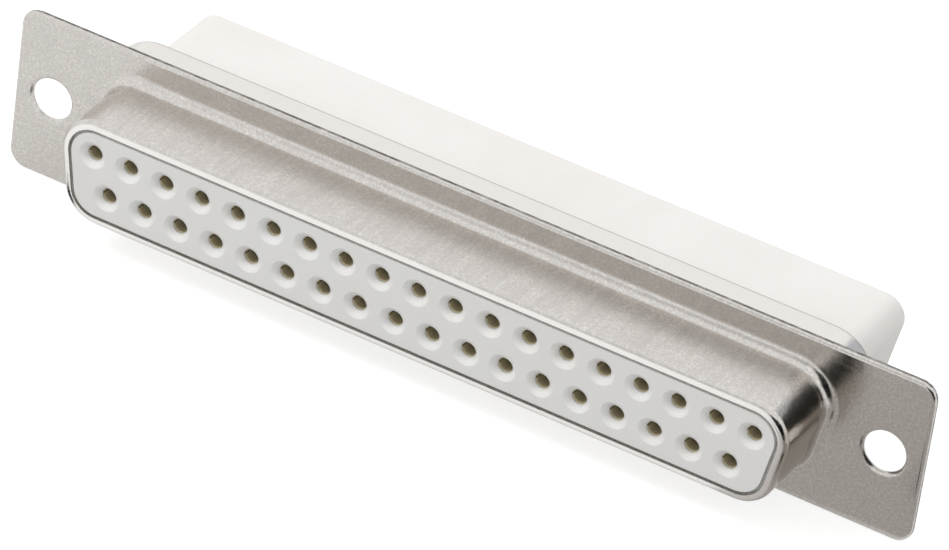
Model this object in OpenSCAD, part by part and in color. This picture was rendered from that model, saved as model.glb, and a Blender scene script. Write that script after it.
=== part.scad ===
// 37-way D-subminiature socket connector: two tin-plated steel shells, a two-part
// insulator and 37 crimp socket contacts.
// Frame: +X along the flange, +Z up (wide side of the D up), mating face towards -Y.
// The origin is the centre of the flange's front face, the plane that meets a panel.

/* [Contact grid] */
// Contacts in the upper row, the lower row has one fewer
top_count = 19; // [3:1:19]
// Spacing of the contacts along a row
pitch = 2.77; // [2.6:0.01:3.2]
// Spacing of the two rows
row_gap = 2.84; // [2.6:0.01:3.4]

/* [Front shell] */
// Thickness of the steel sheet of both shells
sheet_t = 0.35; // [0.3:0.01:0.42]
// From the end contact's centre to the shroud's outside, along the row
shroud_end = 2.49; // [2.4:0.01:3.2]
// From a row's centre line to the shroud's outside
shroud_side = 2.53; // [2.49:0.01:3]
// Outer corner radius of the D-shaped shroud
shroud_corner_r = 2.6; // [2.2:0.05:3]
// From the flange's front face to the shroud's front edge
shroud_len = 5.85; // [5:0.05:8]
// Outside radius of the shroud's turned-in front edge
lip_r = 0.5; // [0.45:0.01:0.58]
// How far the front edge reaches in from the shroud's outside
lip_w = 0.6; // [0.6:0.01:0.8]
// Radius of the bend from the flange to the shroud
root_r = 0.8; // [0.3:0.05:0.9]

/* [Flange and mounting holes] */
// From the shroud's outside to the flange's end
flange_end = 7.23; // [6.9:0.01:9]
// From the shroud's outside to the flange's long edge
flange_side = 2.3; // [2.3:0.05:4]
// Corner radius of the front flange
flange_corner_r = 1.3; // [0.8:0.1:2]
// Rounding of the front flange's front edge
flange_edge_r = 0.28; // [0.1:0.01:0.28]
// How much smaller the rear flange is, on each side
rear_inset = 0.2; // [0.05:0.01:0.24]
// From the shroud's outside to a mounting hole's centre
hole_out = 4.33; // [4.1:0.01:4.7]
// Radius of a mounting hole
hole_r = 1.525; // [1.4:0.005:1.6]
// Width of the rolled edge around a mounting hole
hole_roll_w = 0.45; // [0.3:0.01:0.5]
// Depth of the rolled edge around a mounting hole
hole_roll_d = 0.16; // [0.1:0.01:0.18]
// Wall of the collar that is flared through the rear flange
collar_wall = 0.2; // [0.12:0.01:0.22]
// How far in front of the rear flange the collar starts to flare
flare_lead = 0.08; // [0.07:0.01:0.1]

/* [Rear shell] */
// From the flange's front face to the back of the rear shell
rear_shell_len = 3.65; // [3.2:0.05:5]
// Width of the rear shell's turned-in back edge
rear_lip_w = 1.45; // [1.2:0.05:1.45]
// Outside radius of the rear shell's back bend
rear_bend_r = 0.47; // [0.45:0.01:0.6]
// Radius of the bend from the rear flange to the rear shell
rear_root_r = 0.4; // [0.2:0.01:0.42]

/* [Insulators] */
// Gap between the front insulator and the shroud's front edge
nose_gap = 0.25; // [0.1:0.01:0.35]
// Gap between an insulator and the inside of a shell
fit_gap = 0.12; // [0.05:0.01:0.2]
// Thickness of the front insulator's base plate
front_plate_t = 1.4; // [1.2:0.05:1.8]
// From the end contact's centre to the rear body's outside, along the row
body_end = 2.27; // [2.2:0.01:2.5]
// From a row's centre line to the rear body's outside
body_side = 2.33; // [2.2:0.01:2.37]
// Corner radius of the rear body
body_corner_r = 1.6; // [1.2:0.05:2]
// From the flange's front face to the back of the rear body
body_len = 11.2; // [10.4:0.1:16]
// Gap between the rear body and the rear shell's back edge
body_gap = 0.2; // [0.1:0.01:0.24]
// Radius of a contact hole where the mating pin goes in
throat_r = 0.56; // [0.54:0.01:0.65]
// Radius of a contact hole's countersink at the mating face
sink_r = 1.0; // [0.9:0.01:1.1]
// Depth of a contact hole's countersink
sink_d = 0.42; // [0.3:0.01:0.5]
// Radius of the countersink's rounded profile
sink_profile_r = 0.75; // [0.6:0.05:1.2]
// Plastic left in front of a contact, behind the countersink
web_t = 0.12; // [0.1:0.01:0.5]
// Gap around a contact in its cavity
cavity_gap = 0.1; // [0.05:0.01:0.12]
// Width of the lead-in at a rear cavity
lead_in = 0.14; // [0.08:0.01:0.2]

/* [Contacts] */
// Outer radius of a contact's socket
socket_r = 0.8; // [0.75:0.01:0.9]
// Radius of the hole that takes the mating pin
pin_hole_r = 0.52; // [0.5:0.01:0.53]
// Depth of the hole that takes the mating pin
pin_hole_d = 6; // [5:0.1:6.3]
// Lead-in at the socket's mouth and edge
mouth_edge = 0.1; // [0.05:0.01:0.12]
// Width of the slot between the socket's two springs
slot_w = 0.18; // [0.1:0.01:0.3]
// Length of the slot between the socket's two springs
slot_len = 3.6; // [3:0.1:4.5]
// Radius of the contact's shoulder
shoulder_r = 1.05; // [1:0.01:1.1]
// Length of the contact's shoulder
shoulder_len = 0.9; // [0.7:0.05:1]
// Outer radius of the crimp barrel
barrel_r = 0.85; // [0.8:0.01:0.9]
// Radius of the crimp barrel's wire hole
wire_r = 0.58; // [0.4:0.01:0.6]
// Depth of the crimp barrel's wire hole
wire_hole_d = 4; // [3:0.1:5]
// How far a contact's back end lies inside the rear body
contact_recess = 1.6; // [0.5:0.1:2.4]
// Radius of the sight hole in the crimp barrel
sight_r = 0.25; // [0.15:0.01:0.35]

/* [Hidden] */
$fn = 48;
side_angle = 10.042; // slope of the two short sides of the D, from the vertical
cut = 0.5;  // how far a cutting body runs past the face that it opens
weld = 0.2; // width of the flat strip that joins a swept edge to its plate
steel = [0.80, 0.78, 0.76];
white_plastic = [0.93, 0.92, 0.90];
gold = [0.78, 0.63, 0.33];

bottom_count = top_count - 1;
contact_count = top_count + bottom_count;
row_len = (top_count - 1) * pitch;

shroud_w = row_len + 2 * shroud_end;
shroud_h = row_gap + 2 * shroud_side;
flange_w = shroud_w + 2 * flange_end;
flange_h = shroud_h + 2 * flange_side;
hole_spacing = shroud_w + 2 * hole_out;
body_w = row_len + 2 * body_end;
body_h = row_gap + 2 * body_side;

// The rear shell's outline and its back opening follow the rear body.
rear_grow = body_gap + rear_lip_w;
rear_w = body_w + 2 * rear_grow;
rear_h = body_h + 2 * rear_grow;
rear_corner_r = body_corner_r + rear_grow;

// Depths are measured forward from the flange's front face: behind it they are negative.
flange_back = -sheet_t;
rear_flange_back = -2 * sheet_t;
plate_split = flange_back - front_plate_t;
lip_inside = sheet_t - rear_shell_len;
contact_front = shroud_len - sink_d - web_t;
contact_back = contact_recess - body_len;
shoulder_front = plate_split + shoulder_len;

// The rolled edge of a mounting hole is an arc through the face and the bore.
roll_arc_r = (pow(hole_roll_w, 2) + pow(hole_roll_d, 2)) / (2 * hole_roll_d);
// The collar flares at 45 degrees.
flare_start = flange_back + flare_lead;
flare_end = rear_flange_back;

function contact_name(i) = str("contact_", i < 10 ? "0" : "", i);

// Contact 1 is at the upper right as the mating face is seen, and the numbers run left.
function contact_at(i) =
    i <= top_count
    ? [row_len / 2 - (i - 1) * pitch, row_gap / 2]
    : [row_len / 2 - (i - top_count - 0.5) * pitch, -row_gap / 2];

// Corner centres of a D outline, each with the angle at which its arc starts.
function d_corners(w, h, r) =
    let (x = w / 2 - r, z = h / 2 - r, run = round(2000 * z / cos(side_angle)) / 1000,
         low_x = x - run * sin(side_angle), low_z = z - run * cos(side_angle))
    [[x, z, -side_angle], [-x, z, 90], [-low_x, low_z, 180 + side_angle], [low_x, low_z, 270]];

// The same for a rectangle with round corners.
function plate_corners(w, h, r) =
    let (x = w / 2 - r, z = h / 2 - r) [[x, z, 0], [-x, z, 90], [-x, -z, 180], [x, -z, 270]];

function on_arc(c, r, a) = [c[0] + r * cos(a), c[1] + r * sin(a)];
function arc_end(corners, k) = corners[(k + 1) % 4][2] + (k == 3 ? 360 : 0);

// Shapes are laid out face up and then turned to face the mating side.
module faced() rotate([90, 0, 0]) children();

// A coarse step and a fine one, so that the ends of long straight runs meet their corners.
function coarse(v) = [for (a = v) round(100 * a) / 100];
module placed(v) translate(coarse(v)) translate(v - coarse(v)) children();

// Sweeps a section around an outline. The section's x runs outward from the outline,
// and its y runs forward.
module swept(corners, r) {
    for (k = [0 : 3]) {
        corner = corners[k];
        before = corners[(k + 3) % 4];
        run = norm([corner[0] - before[0], corner[1] - before[1]]);
        placed([corner[0], corner[1], 0]) rotate([0, 0, corner[2]]) {
            rotate_extrude(angle = arc_end(corners, k) - corner[2])
            translate([r, 0]) children();
            translate([r, 0, 0]) rotate([90, 0, 0]) linear_extrude(run) children();
        }
    }
}

// Solid outline with round corners, between two depths.
module block(corners, r, from, to) {
    translate([0, 0, from])
    linear_extrude(to - from) {
        polygon([for (k = [0 : 3], a = [corners[k][2], arc_end(corners, k)])
                 on_arc(corners[k], r, a)]);
        for (c = corners) translate([c[0], c[1]]) circle(r);
    }
}

// Quarter of a bent sheet, in the first quadrant.
module bend(inner_r, outer_r) {
    intersection() {
        difference() {
            circle(outer_r);
            circle(inner_r);
        }
        square(outer_r);
    }
}

// Block with a round front edge.
module soft_block(corners, r, from, to, edge_r) {
    block(corners, r - edge_r - weld / 2, from, to);
    swept(corners, r - edge_r) union() {
        translate([-weld, from]) square([weld, to - from]);
        translate([0, from]) square([edge_r, to - from - edge_r]);
        translate([0, to - edge_r]) intersection() {
            circle(edge_r);
            square(edge_r);
        }
    }
}

module at_mounting_holes() for (x = [-1, 1] * hole_spacing / 2) translate([x, 0, 0]) children();

// Ring around a mounting hole: rolled front edge, straight bore and flared collar.
module hole_ring_section() {
    outer_r = hole_r + hole_roll_w;
    difference() {
        translate([hole_r, flange_back]) square([hole_roll_w, sheet_t]);
        difference() {
            translate([0, -hole_roll_d]) square([outer_r, hole_roll_d]);
            translate([outer_r, -roll_arc_r]) circle(roll_arc_r);
        }
        polygon([[0, flare_start], [hole_r, flare_start],
                 [hole_r + flare_start - flange_back, flange_back], [0, flange_back]]);
    }
    polygon([[flare_r(flange_back), flange_back],
             [flare_r(flange_back) + collar_wall, flange_back],
             [flare_r(flare_end) + collar_wall, flare_end],
             [flare_r(flare_end), flare_end]]);
}

// Inner radius of the flared collar at a depth.
function flare_r(depth) = hole_r + flare_start - depth;

module front_shell() color(steel) faced() {
    outline = d_corners(shroud_w, shroud_h, shroud_corner_r);
    plate = plate_corners(flange_w, flange_h, flange_corner_r);
    difference() {
        soft_block(plate, flange_corner_r, flange_back, 0, flange_edge_r);
        block(outline, shroud_corner_r + root_r + weld / 2, flange_back - cut, cut);
        at_mounting_holes()
        translate([0, 0, flange_back - cut]) cylinder(r = hole_r + hole_roll_w, h = sheet_t + 2 * cut);
    }
    at_mounting_holes() rotate_extrude() hole_ring_section();
    swept(outline, shroud_corner_r) {
        union() {
            translate([root_r, flange_back]) square([weld, sheet_t]);
            translate([root_r, root_r]) rotate(180) bend(root_r, root_r + sheet_t);
            translate([-sheet_t, root_r]) square([sheet_t, shroud_len - lip_r - root_r]);
            translate([-lip_r, shroud_len - lip_r]) bend(lip_r - sheet_t, lip_r);
            translate([-lip_w, shroud_len - sheet_t]) square([lip_w - lip_r, sheet_t]);
        }
    }
}

module rear_shell() color(steel) faced() {
    outline = d_corners(rear_w, rear_h, rear_corner_r);
    inset_r = flange_corner_r - rear_inset;
    plate = plate_corners(flange_w - 2 * rear_inset, flange_h - 2 * rear_inset, inset_r);
    difference() {
        block(plate, inset_r, rear_flange_back, flange_back);
        block(outline, rear_corner_r + rear_root_r + weld / 2,
              rear_flange_back - cut, flange_back + cut);
        at_mounting_holes()
        translate([0, 0, flare_end])
        cylinder(r1 = flare_r(flare_end) + collar_wall, r2 = flare_r(flange_back) + collar_wall,
                 h = sheet_t);
    }
    swept(outline, rear_corner_r) {
        union() {
            translate([rear_root_r, rear_flange_back]) square([weld, sheet_t]);
            translate([rear_root_r, rear_flange_back - rear_root_r])
            rotate(90) bend(rear_root_r, rear_root_r + sheet_t);
            translate([-sheet_t, rear_bend_r - rear_shell_len])
            square([sheet_t, rear_shell_len - rear_bend_r - rear_root_r - 2 * sheet_t]);
            translate([-rear_bend_r, rear_bend_r - rear_shell_len])
            rotate(-90) bend(rear_bend_r - sheet_t, rear_bend_r);
            translate([-rear_lip_w, -rear_shell_len])
            square([rear_lip_w - rear_bend_r, sheet_t]);
        }
    }
}

// Base plate of an insulator, which both shells clamp. It stays clear of the back bend.
module clamp_plate(from, to) {
    shrink = max(rear_bend_r, sheet_t + fit_gap);
    block(d_corners(rear_w, rear_h, rear_corner_r), rear_corner_r - shrink, from, to);
}

// Section of a contact's cavity in the front insulator, from the plate to the face.
module front_cavity_section() {
    half_w = (sink_r - throat_r) / 2;
    half_d = sink_d / 2;
    half_chord = norm([half_w, half_d]);
    offset_out = sqrt(pow(sink_profile_r, 2) - pow(half_chord, 2)) / half_chord;
    difference() {
        translate([0, shroud_len - sink_d]) square([sink_r, sink_d + nose_gap]);
        translate([throat_r + half_w + offset_out * half_d,
                   shroud_len - half_d - offset_out * half_w])
        circle(sink_profile_r);
    }
    translate([0, plate_split]) square([throat_r, shroud_len - sink_d - plate_split]);
    translate([0, plate_split]) square([socket_r + cavity_gap, contact_front - plate_split]);
    translate([0, plate_split - cut]) square([shoulder_r + cavity_gap, shoulder_len + cut]);
}

module front_insulator() color(white_plastic) faced() {
    outline = d_corners(shroud_w, shroud_h, shroud_corner_r);
    plug_r = shroud_corner_r - sheet_t - fit_gap;
    nose_r = shroud_corner_r - lip_w - nose_gap;
    plug_front = shroud_len - sheet_t - fit_gap;
    difference() {
        union() {
            clamp_plate(plate_split, flange_back);
            block(outline, plug_r, (plate_split + flange_back) / 2, plug_front);
            block(outline, nose_r, flange_back, shroud_len);
        }
        for (i = [1 : contact_count])
            translate(contact_at(i)) rotate_extrude() front_cavity_section();
    }
}

// Section of a contact's cavity in the rear insulator, with the lead-in at its back.
module rear_cavity_section() {
    cavity_r = barrel_r + cavity_gap;
    polygon([[0, -body_len - cut], [cavity_r + lead_in + cut, -body_len - cut],
             [cavity_r, lead_in - body_len], [cavity_r, plate_split + cut], [0, plate_split + cut]]);
}

module rear_insulator() color(white_plastic) faced() {
    outline = d_corners(body_w, body_h, body_corner_r);
    plate_middle = (lip_inside + plate_split) / 2;
    difference() {
        union() {
            clamp_plate(lip_inside, plate_split);
            block(outline, body_corner_r, -body_len, plate_middle);
        }
        for (i = [1 : contact_count])
            translate(contact_at(i)) rotate_extrude() rear_cavity_section();
    }
}

module contact() color(gold) {
    wire_hole_front = contact_back + wire_hole_d;
    difference() {
        rotate_extrude()
        polygon([[0, contact_front - pin_hole_d], [pin_hole_r, contact_front - pin_hole_d],
                 [pin_hole_r, contact_front - mouth_edge], [pin_hole_r + mouth_edge, contact_front],
                 [socket_r - mouth_edge, contact_front], [socket_r, contact_front - mouth_edge],
                 [socket_r, shoulder_front], [shoulder_r, shoulder_front],
                 [shoulder_r, plate_split], [barrel_r, plate_split],
                 [barrel_r, contact_back], [wire_r, contact_back],
                 [wire_r, wire_hole_front], [0, wire_hole_front]]);
        translate([-socket_r - cut, -slot_w / 2, contact_front - slot_len])
        cube([2 * (socket_r + cut), slot_w, slot_len + cut]);
        translate([0, 0, wire_hole_front - 2 * sight_r])
        rotate([-90, 0, 0]) cylinder(r = sight_r, h = barrel_r + cut);
    }
}

front_shell();
rear_shell();
front_insulator();
rear_insulator();
for (i = [1 : contact_count])
    faced() translate(contact_at(i)) contact();
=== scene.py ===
"""Look of a 37-way D-sub socket connector with a metal shell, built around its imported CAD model.

Frame: +X along the flange, +Z up, mating face towards -Y. The origin is the centre of the
flange's front face. Lengths are in metres, and MM turns millimetres into them. Colours are linear.
"""
import math

import bpy
from mathutils import Matrix, Vector


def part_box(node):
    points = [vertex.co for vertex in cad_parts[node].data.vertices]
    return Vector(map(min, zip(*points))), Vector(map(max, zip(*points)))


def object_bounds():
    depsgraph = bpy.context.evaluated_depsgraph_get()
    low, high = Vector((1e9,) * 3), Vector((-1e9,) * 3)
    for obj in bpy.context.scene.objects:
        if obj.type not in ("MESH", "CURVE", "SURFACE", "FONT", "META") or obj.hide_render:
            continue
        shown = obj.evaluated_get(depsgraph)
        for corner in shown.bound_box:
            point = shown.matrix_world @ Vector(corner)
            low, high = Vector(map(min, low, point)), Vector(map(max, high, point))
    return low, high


MM = 0.001

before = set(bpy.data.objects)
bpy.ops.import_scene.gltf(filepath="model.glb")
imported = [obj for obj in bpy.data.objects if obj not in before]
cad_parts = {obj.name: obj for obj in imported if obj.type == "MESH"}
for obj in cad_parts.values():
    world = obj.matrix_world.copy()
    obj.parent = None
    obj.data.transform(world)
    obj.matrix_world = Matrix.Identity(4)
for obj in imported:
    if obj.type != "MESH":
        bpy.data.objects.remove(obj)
cad_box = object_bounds()
end_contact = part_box("contact_01")
shroud_front = cad_box[0].y
row_end = (end_contact[0].x + end_contact[1].x) / 2
contact_mouth = end_contact[0].y
rear_shell_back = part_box("rear_shell")[1].y

# Camera: a long lens, looking down and from the right of the mating face. Angles are in degrees.
CAMERA_AIM = Vector((1.247, 0.0, 0.296)) * MM
CAMERA_DISTANCE = 465.26 * MM
CAMERA_AZIMUTH = 25.22
CAMERA_ELEVATION = 33.887
CAMERA_ROLL = 8.222
CAMERA_LENS_MM = 269.04
SENSOR_WIDTH_MM = 36.0
CAMERA_CLIP = (0.01, 10)

STEEL = (0.80, 0.77, 0.73)
STEEL_DULL = (0.585, 0.556, 0.527)
STEEL_PALE = (0.84, 0.81, 0.79)
# Edge tone: partly worn plate, partly a painted highlight.
STEEL_WORN_AND_HIGHLIGHT = (0.90, 0.88, 0.85)
# Near-black: the torn steel's dull tone, plus painted shade of the gap between the two plates.
STEEL_TORN_AND_GAP_SHADE = (0.10, 0.096, 0.092)
# Painted grey reflection line on the rear shell's back bend.
STEEL_BEND_REFLECTION_GREY = (0.42, 0.41, 0.40)
# Painted dark reflection on the shroud's short walls.
STEEL_END_REFLECTION = (0.46, 0.415, 0.355)
# Painted highlight on the shroud's front edge.
STEEL_LIP_HIGHLIGHT = (0.97, 0.95, 0.93)
PLASTIC = (0.83, 0.815, 0.79)
PLASTIC_WARM = (0.80, 0.775, 0.745)
PLASTIC_COOL = (0.84, 0.835, 0.82)
# Painted highlight on the plastic's edges.
PLASTIC_EDGE_HIGHLIGHT = (0.88, 0.87, 0.85)
GOLD = (0.62, 0.47, 0.22)
GOLD_DULL = (0.40, 0.33, 0.19)
# Contact edges: partly worn plating, partly a painted highlight.
GOLD_WORN_AND_HIGHLIGHT = (0.80, 0.66, 0.38)
GOLD_TARNISHED = (0.61, 0.54, 0.355)
# Painted shade deep inside the contacts' bores.
GOLD_DEEP_SHADE = (0.02, 0.017, 0.012)
FLOOR = (0.50, 0.50, 0.495)
WHITE = (1, 1, 1)
HOLE_DARK = 0.01
BEND_DARK = 0.004

BEVEL_SAMPLES = 4
# A mix node's colour sockets share their names with its hidden sockets, so they go by index.
MIX_COLOUR_A = 6
MIX_COLOUR_B = 7
MIX_COLOUR_RESULT = 2

FLOOR_HALF_SIZE = 2.0
FLOOR_GLOW_SEEN = 0.72
FLOOR_GLOW_IN_METAL = 0.36
WORLD_SEEN = 1.0
WORLD_DIFFUSE = 0.77


# ---------------------------------------------------------------- node helpers

def new_material(name):
    material = bpy.data.materials.new(name)
    material.use_nodes = True
    material.node_tree.nodes.clear()
    return material


class Nodes:
    """Short calls for building a node tree. Each value is a socket or a constant."""

    def __init__(self, tree):
        self.tree = tree

    def add(self, kind, **settings):
        node = self.tree.nodes.new(kind)
        for key, value in settings.items():
            setattr(node, key, value)
        return node

    def set(self, socket, value):
        if isinstance(value, bpy.types.NodeSocket):
            self.tree.links.new(value, socket)
        elif hasattr(value, "__len__") and len(value) == 3 and socket.type == "RGBA":
            socket.default_value = (*value, 1)
        else:
            socket.default_value = value

    def position(self, stretch=(1, 1, 1)):
        """Place on the object, in metres, stretched for streaks."""
        coordinates = self.add("ShaderNodeTexCoord")
        mapping = self.add("ShaderNodeMapping")
        mapping.inputs["Scale"].default_value = stretch
        self.set(mapping.inputs["Vector"], coordinates.outputs["Object"])
        return mapping.outputs["Vector"]

    def axes(self):
        """X, Y and Z of the place on the object, in metres."""
        separate = self.add("ShaderNodeSeparateXYZ")
        self.set(separate.inputs["Vector"], self.position())
        return tuple(separate.outputs)

    def noise(self, place, scale, detail=4.0, roughness=0.55, distortion=0.0):
        node = self.add("ShaderNodeTexNoise")
        self.set(node.inputs["Vector"], place)
        self.set(node.inputs["Scale"], scale)
        self.set(node.inputs["Detail"], detail)
        self.set(node.inputs["Roughness"], roughness)
        self.set(node.inputs["Distortion"], distortion)
        return node.outputs["Fac"]

    def cells(self, place, scale):
        node = self.add("ShaderNodeTexVoronoi")
        self.set(node.inputs["Vector"], place)
        self.set(node.inputs["Scale"], scale)
        return node.outputs["Distance"]

    def remap(self, value, low, high, to_low=0.0, to_high=1.0):
        """Move the range from low to high onto the range from to_low to to_high, and clamp it there."""
        node = self.add("ShaderNodeMapRange")
        self.set(node.inputs["From Min"], low)
        self.set(node.inputs["From Max"], high)
        self.set(node.inputs["To Min"], to_low)
        self.set(node.inputs["To Max"], to_high)
        self.set(node.inputs["Value"], value)
        return node.outputs["Result"]

    def math(self, operation, a, b=0.0):
        node = self.add("ShaderNodeMath", operation=operation)
        self.set(node.inputs[0], a)
        self.set(node.inputs[1], b)
        return node.outputs["Value"]

    def add_share(self, value, mask, amount):
        """The value plus the amount, where the mask is 1."""
        return self.math("ADD", value, self.math("MULTIPLY", mask, amount))

    def mix(self, share, a, b):
        node = self.add("ShaderNodeMix", data_type="RGBA")
        self.set(node.inputs["Factor"], share)
        self.set(node.inputs[MIX_COLOUR_A], a)
        self.set(node.inputs[MIX_COLOUR_B], b)
        return node.outputs[MIX_COLOUR_RESULT]

    def tint(self, tone, mask, amount, colour):
        """The tone, taken towards the colour by the amount where the mask is 1."""
        return self.mix(self.math("MULTIPLY", mask, amount), tone, colour)

    def edges(self, radius):
        """1 on edges that are sharper than the radius, 0 on flat faces."""
        bevel = self.add("ShaderNodeBevel")
        bevel.samples = BEVEL_SAMPLES
        self.set(bevel.inputs["Radius"], radius)
        geometry = self.add("ShaderNodeNewGeometry")
        dot = self.add("ShaderNodeVectorMath", operation="DOT_PRODUCT")
        self.set(dot.inputs[0], bevel.outputs["Normal"])
        self.set(dot.inputs[1], geometry.outputs["Normal"])
        bend = self.math("SUBTRACT", 1.0, dot.outputs["Value"])
        return self.remap(bend, 0.02, 0.25)

    def bump(self, height, strength, distance, base=None):
        node = self.add("ShaderNodeBump")
        self.set(node.inputs["Height"], height)
        self.set(node.inputs["Strength"], strength)
        self.set(node.inputs["Distance"], distance)
        if base is not None:
            self.set(node.inputs["Normal"], base)
        return node.outputs["Normal"]

    def emission(self, colour, strength=1.0):
        glow = self.add("ShaderNodeEmission")
        self.set(glow.inputs["Color"], colour)
        self.set(glow.inputs["Strength"], strength)
        return glow.outputs["Emission"]

    def output(self, surface, kind="ShaderNodeOutputMaterial"):
        self.set(self.add(kind).inputs["Surface"], surface)

    def surface(self, **inputs):
        shader = self.add("ShaderNodeBsdfPrincipled")
        for key, value in inputs.items():
            self.set(shader.inputs[key.replace("_", " ")], value)
        self.output(shader.outputs["BSDF"])

    def seen_ray(self, light_path):
        """1 for camera, glossy and transmission rays."""
        rays = light_path.outputs
        seen = self.math("MAXIMUM", rays["Is Camera Ray"], rays["Is Glossy Ray"])
        return self.math("MAXIMUM", seen, rays["Is Transmission Ray"])


# ---------------------------------------------------------------- steel

def torn_edge_and_gap_shade(n):
    """1 on the torn part of the flange's cut edge, behind the smooth part that the punch leaves.
    Its near-black is partly the torn steel's dull tone and partly painted shade of the gap between the two
    plates.
    """
    x, y, z = n.axes()
    fade_start = 0.25 * MM
    fade_end = 0.21 * MM
    end_edge = n.remap(n.math("ABSOLUTE", x), cad_box[1].x - fade_start, cad_box[1].x - fade_end)
    long_edge = n.remap(n.math("ABSOLUTE", z), cad_box[1].z - fade_start, cad_box[1].z - fade_end)
    behind = n.remap(y, 0.18 * MM, 0.24 * MM)
    zone = n.math("MULTIPLY", n.math("MAXIMUM", end_edge, long_edge), behind)
    uneven = n.noise(n.position(), scale=1500, detail=2.0)
    return n.math("MULTIPLY", zone, n.remap(uneven, 0.30, 0.60, 0.5, 1.0))


def back_bend_painted_reflection(n):
    """1 on the rear shell's back bend, where a grey line is painted as a darker reflection."""
    _, y, _ = n.axes()
    return n.remap(y, rear_shell_back - 0.50 * MM, rear_shell_back - 0.42 * MM)


def drawn_wall(n):
    """1 on the long walls of the shroud, which the draw left rougher than its burnished ends."""
    x, y, _ = n.axes()
    forward = n.remap(y, -0.5 * MM, -1.2 * MM)
    end = n.remap(n.math("ABSOLUTE", x), row_end + 0.2 * MM, row_end + 1.4 * MM)
    return n.math("MULTIPLY", forward, n.math("SUBTRACT", 1.0, end))


def lip_painted_highlight(n):
    """1 on the shroud's front edge, which is painted bright as a highlight."""
    _, y, _ = n.axes()
    return n.remap(y, shroud_front + 0.12 * MM, shroud_front + 0.03 * MM)


def end_wall_painted_reflection(n):
    """1 on the shroud's two short walls, where a dark brown reflection is painted."""
    x, y, _ = n.axes()
    forward = n.remap(y, -0.5 * MM, -1.0 * MM)
    side = n.remap(n.math("ABSOLUTE", x), row_end + 1.7 * MM, row_end + 2.2 * MM)
    behind_lip = n.math("SUBTRACT", 1.0, lip_painted_highlight(n))
    return n.math("MULTIPLY", n.math("MULTIPLY", forward, side), behind_lip)


def plated_steel(name, clean, dull):
    """Satin tin plate: fine grain, faint rolling streaks, dull patches, and bright edges that are partly
    worn and partly a painted highlight.
    """
    material = new_material(name)
    n = Nodes(material.node_tree)
    place = n.position()
    grain = n.noise(place, scale=6500, detail=3.0, roughness=0.7)
    mottle = n.noise(place, scale=4400, detail=3.0, roughness=0.6)
    waves = n.noise(place, scale=1300, detail=3.0)
    patches = n.noise(place, scale=420, detail=5.0, roughness=0.6, distortion=0.4)
    rolled = n.noise(n.position((700, 4200, 4200)), scale=1.0, detail=4.0, roughness=0.65)
    drawn = n.noise(n.position((3400, 260, 3400)), scale=1.0, detail=4.0, roughness=0.6)
    pits = n.remap(n.cells(place, scale=2600), 0.02, 0.10, 1.0, 0.0)
    wear_and_highlight = n.edges(0.09 * MM)

    tone = n.tint(clean, n.remap(patches, 0.42, 0.66), 0.25, dull)
    tone = n.tint(tone, n.remap(grain, 0.43, 0.58), 0.75, dull)
    tone = n.tint(tone, n.remap(mottle, 0.40, 0.60), 0.45, dull)
    tone = n.tint(tone, pits, 0.3, dull)
    tone = n.tint(tone, n.remap(drawn, 0.42, 0.65), 0.60, dull)
    # Edges lightened: partly wear, partly a painted highlight.
    tone = n.tint(tone, wear_and_highlight, 0.6, STEEL_WORN_AND_HIGHLIGHT)
    # Painted highlight: a bright band on the shroud's front edge.
    tone = n.tint(tone, lip_painted_highlight(n), 0.9, STEEL_LIP_HIGHLIGHT)
    # Painted dark reflection on the sides of the shroud's short walls.
    tone = n.tint(tone, end_wall_painted_reflection(n), 0.9, STEEL_END_REFLECTION)
    # Painted reflection: a grey line along the rear shell's back bend.
    tone = n.tint(tone, back_bend_painted_reflection(n), 0.6, STEEL_BEND_REFLECTION_GREY)
    # Cut edges darkened: partly the torn steel, partly painted shade of the gap between the plates.
    tone = n.tint(tone, torn_edge_and_gap_shade(n), 0.95, STEEL_TORN_AND_GAP_SHADE)

    rough = n.remap(rolled, 0.25, 0.75, 0.14, 0.22)
    rough = n.add_share(rough, n.remap(patches, 0.35, 0.7), 0.05)
    rough = n.add_share(rough, wear_and_highlight, -0.06)
    rough = n.add_share(rough, drawn_wall(n), 0.10)

    relief = n.bump(grain, 0.30, 0.010 * MM)
    relief = n.bump(rolled, 0.22, 0.010 * MM, relief)
    relief = n.bump(drawn, 0.30, 0.018 * MM, relief)
    relief = n.bump(waves, 0.45, 0.025 * MM, relief)
    n.surface(Base_Color=tone, Metallic=1.0, Roughness=rough, Normal=relief)
    return material


# ---------------------------------------------------------------- plastic and gold

def white_plastic(name, clean, warm):
    """Moulded glass-filled plastic: slightly uneven gloss, warm clouds and soft edges painted bright as a
    highlight.
    """
    material = new_material(name)
    n = Nodes(material.node_tree)
    place = n.position()
    clouds = n.noise(place, scale=130, detail=4.0)
    fibres = n.noise(n.position((900, 2600, 2600)), scale=1.0, detail=5.0, roughness=0.6)
    grain = n.noise(place, scale=7000, detail=2.0)

    tone = n.mix(n.remap(clouds, 0.35, 0.7), clean, warm)
    tone = n.tint(tone, n.remap(fibres, 0.5, 0.72), 0.25, warm)
    # Painted highlight: edges lightened by a bevel mask.
    tone = n.tint(tone, n.edges(0.12 * MM), 0.4, PLASTIC_EDGE_HIGHLIGHT)

    relief = n.bump(grain, 0.12, 0.008 * MM)
    relief = n.bump(fibres, 0.10, 0.015 * MM, relief)
    n.surface(
        Base_Color=tone,
        Roughness=n.remap(fibres, 0.3, 0.7, 0.38, 0.52),
        Normal=relief,
        IOR=1.5,
        Subsurface_Weight=0.15,
        Subsurface_Radius=(0.9 * MM, 0.8 * MM, 0.7 * MM),
        Subsurface_Scale=1.0,
    )
    return material


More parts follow.
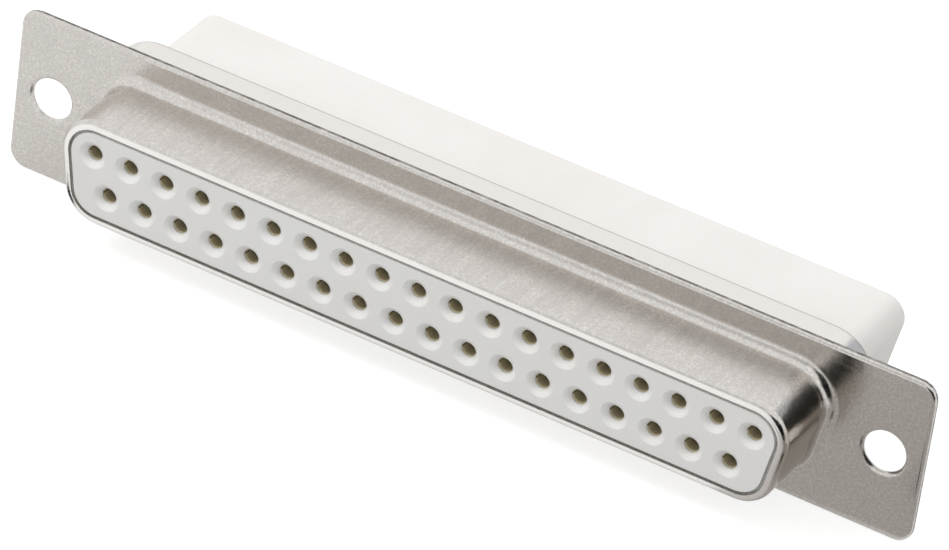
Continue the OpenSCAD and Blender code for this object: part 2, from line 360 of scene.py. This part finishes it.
def contact_gold():
    """Thin gold over copper alloy with turning marks, tarnished in the socket, and painted black as shade
    deep inside it.
    """
    material = new_material("contact_gold")
    n = Nodes(material.node_tree)
    turning = n.noise(n.position((300, 14000, 300)), scale=1.0, detail=3.0)
    patches = n.noise(n.position(), scale=900, detail=3.0)
    _, y, _ = n.axes()
    in_socket = n.remap(y, -1.5 * MM, -3.0 * MM)
    painted_shade_past_mouth = n.remap(y, contact_mouth + 0.9 * MM, contact_mouth + 1.2 * MM)

    tone = n.mix(n.remap(patches, 0.35, 0.7), GOLD, GOLD_DULL)
    # Edges lightened: partly wear, partly a painted highlight.
    tone = n.tint(tone, n.edges(0.05 * MM), 0.5, GOLD_WORN_AND_HIGHLIGHT)
    tone = n.mix(in_socket, tone, GOLD_TARNISHED)
    # Painted shade: near-black deep in the bore, past the contact's mouth.
    tone = n.mix(n.math("MULTIPLY", in_socket, painted_shade_past_mouth), tone, GOLD_DEEP_SHADE)

    n.surface(
        Base_Color=tone,
        Metallic=n.remap(in_socket, 0.0, 1.0, 1.0, 0.15),
        Roughness=n.add_share(n.remap(turning, 0.3, 0.7, 0.28, 0.44), in_socket, 0.2),
        Normal=n.bump(turning, 0.2, 0.006 * MM),
    )
    return material


def dress(names, material):
    for name in names:
        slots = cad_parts[name].data.materials
        slots.clear()
        slots.append(material)


contacts = sorted(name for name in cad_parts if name.startswith("contact_"))
dress(("front_shell",), plated_steel("steel_front", STEEL, STEEL_DULL))
dress(("rear_shell",), plated_steel("steel_rear", STEEL_PALE, STEEL))
dress(("front_insulator",), white_plastic("plastic_front", PLASTIC_COOL, PLASTIC))
dress(("rear_insulator",), white_plastic("plastic_rear", PLASTIC, PLASTIC_WARM))
dress(contacts, contact_gold())


# ---------------------------------------------------------------- stage

def flat_mesh(name, centre, across, along, material):
    """A rectangle that isn't part of the object. across and along are its half sides."""
    mesh = bpy.data.meshes.new(name)
    corners = [
        centre - across - along,
        centre + across - along,
        centre + across + along,
        centre - across + along,
    ]
    mesh.from_pydata(corners, [], [(0, 1, 2, 3)])
    mesh.materials.append(material)
    thing = bpy.data.objects.new(name, mesh)
    bpy.context.scene.collection.objects.link(thing)
    return thing


def white_floor(height):
    """A floor that looks white to the camera and greyer in reflections, and keeps the object's shadow."""
    material = new_material("floor_white")
    n = Nodes(material.node_tree)
    light_path = n.add("ShaderNodeLightPath")
    diffuse = n.add("ShaderNodeBsdfDiffuse")
    n.set(diffuse.inputs["Color"], FLOOR)
    to_camera = light_path.outputs["Is Camera Ray"]
    strength = n.add_share(FLOOR_GLOW_IN_METAL, to_camera, FLOOR_GLOW_SEEN - FLOOR_GLOW_IN_METAL)
    both = n.add("ShaderNodeAddShader")
    n.set(both.inputs[0], diffuse.outputs["BSDF"])
    n.set(both.inputs[1], n.emission(WHITE, strength))
    choice = n.add("ShaderNodeMixShader")
    n.set(choice.inputs["Fac"], n.seen_ray(light_path))
    n.set(choice.inputs[1], diffuse.outputs["BSDF"])
    n.set(choice.inputs[2], both.outputs["Shader"])
    n.output(choice.outputs["Shader"])
    flat_mesh(
        "floor",
        Vector((0, 0, height)),
        Vector((FLOOR_HALF_SIZE, 0, 0)),
        Vector((0, FLOOR_HALF_SIZE, 0)),
        material,
    )


def white_world():
    """A world that is white to the camera and in reflections, and a little weaker as a light."""
    world = bpy.data.worlds.new("studio")
    world.use_nodes = True
    world.node_tree.nodes.clear()
    n = Nodes(world.node_tree)
    light_path = n.add("ShaderNodeLightPath")
    background = n.add("ShaderNodeBackground")
    n.set(background.inputs["Color"], WHITE)
    strength = n.remap(n.seen_ray(light_path), 0.0, 1.0, WORLD_DIFFUSE, WORLD_SEEN)
    n.set(background.inputs["Strength"], strength)
    n.output(background.outputs["Background"], "ShaderNodeOutputWorld")
    bpy.context.scene.world = world


def towards(azimuth, elevation):
    """Unit direction. Azimuth 0 is in front of the mating face, and 90 is to its right."""
    a = math.radians(azimuth)
    e = math.radians(elevation)
    return Vector((math.sin(a) * math.cos(e), -math.cos(a) * math.cos(e), math.sin(e)))


def softbox(name, azimuth, elevation, distance, size, power):
    """A square lamp that looks at the origin and doesn't show in reflections."""
    light = bpy.data.lights.new(name, "AREA")
    light.shape = "RECTANGLE"
    light.size = size
    light.size_y = size
    light.energy = power
    lamp = bpy.data.objects.new(name, light)
    lamp.location = towards(azimuth, elevation) * distance
    lamp.rotation_mode = "QUATERNION"
    lamp.rotation_quaternion = towards(azimuth, elevation).to_track_quat("Z", "Y")
    lamp.visible_glossy = False
    bpy.context.scene.collection.objects.link(lamp)


def grey(level):
    """A colour with the same red, green and blue."""
    return (level, level, level)


def card(name, centre, across, along, left, right):
    """A studio card that shows in reflections only, graded from its left colour to its right.

    across and along are its half sides. All three places are in millimetres.
    """
    centre = Vector(centre) * MM
    across = Vector(across) * MM
    along = Vector(along) * MM
    material = new_material(name)
    n = Nodes(material.node_tree)
    x, _, _ = n.axes()
    share = n.remap(x, centre.x - across.x, centre.x + across.x)
    n.output(n.emission(n.mix(share, left, right)))
    thing = flat_mesh(name, centre, across, along, material)
    thing.visible_camera = False
    thing.visible_diffuse = False
    thing.visible_shadow = False
    thing.visible_transmission = False


def dark_card(name, centre, across, along, level):
    """A card with one grey level all over."""
    card(name, centre, across, along, grey(level), grey(level))


white_world()
white_floor(cad_box[0].z)

softbox("key", azimuth=-58, elevation=52, distance=0.42, size=0.16, power=0.66)
softbox("fill", azimuth=95, elevation=35, distance=0.50, size=0.30, power=0.22)

# The steel mirrors these: the greys shade its broad faces, and the darks its bends and holes.
card("front_high_grey", (-60, -150, 112), (90, 0, 0), (0, 30, 45), grey(1.10), grey(0.45))
card("right_low_grey", (36, -21, -6.2), (14, 0, 0), (0, 20.5, 0), (0.50, 0.48, 0.47), (0.42, 0.40, 0.39))
dark_card("left_low_dark", (-30.2, -8.2, -6.1), (1.8, 0, 0), (0, 2.4, 0), HOLE_DARK)
dark_card("right_hole_dark", (33.7, -8.2, -6.1), (1.5, 0, 0), (0, 2.4, 0), HOLE_DARK)
dark_card("right_dark", (75, -58, 20), (36, 28, 0), (0, 0, 34), BEND_DARK)
dark_card("right_floor_dark", (65, -42, -6.15), (17, 0, 0), (0, 22, 0), BEND_DARK)
card("back_right_grey", (66, 60, 34), (22, -20, 0), (0, 0, 26), (0.42, 0.44, 0.48), (0.62, 0.64, 0.68))


# ---------------------------------------------------------------- camera

def make_camera():
    data = bpy.data.cameras.new("camera")
    data.lens = CAMERA_LENS_MM
    data.sensor_width = SENSOR_WIDTH_MM
    data.clip_start, data.clip_end = CAMERA_CLIP
    camera = bpy.data.objects.new("camera", data)
    back = towards(CAMERA_AZIMUTH, CAMERA_ELEVATION)
    level_right = (-back).cross(Vector((0, 0, 1))).normalized()
    level_up = level_right.cross(-back)
    roll = math.radians(CAMERA_ROLL)
    right = level_right * math.cos(roll) + level_up * math.sin(roll)
    up = back.cross(right)
    turn = Matrix((right, up, back)).transposed().to_4x4()
    camera.matrix_world = Matrix.Translation(CAMERA_AIM + back * CAMERA_DISTANCE) @ turn
    bpy.context.scene.collection.objects.link(camera)
    bpy.context.scene.camera = camera


make_camera()
bpy.context.scene.view_settings.view_transform = "Standard"
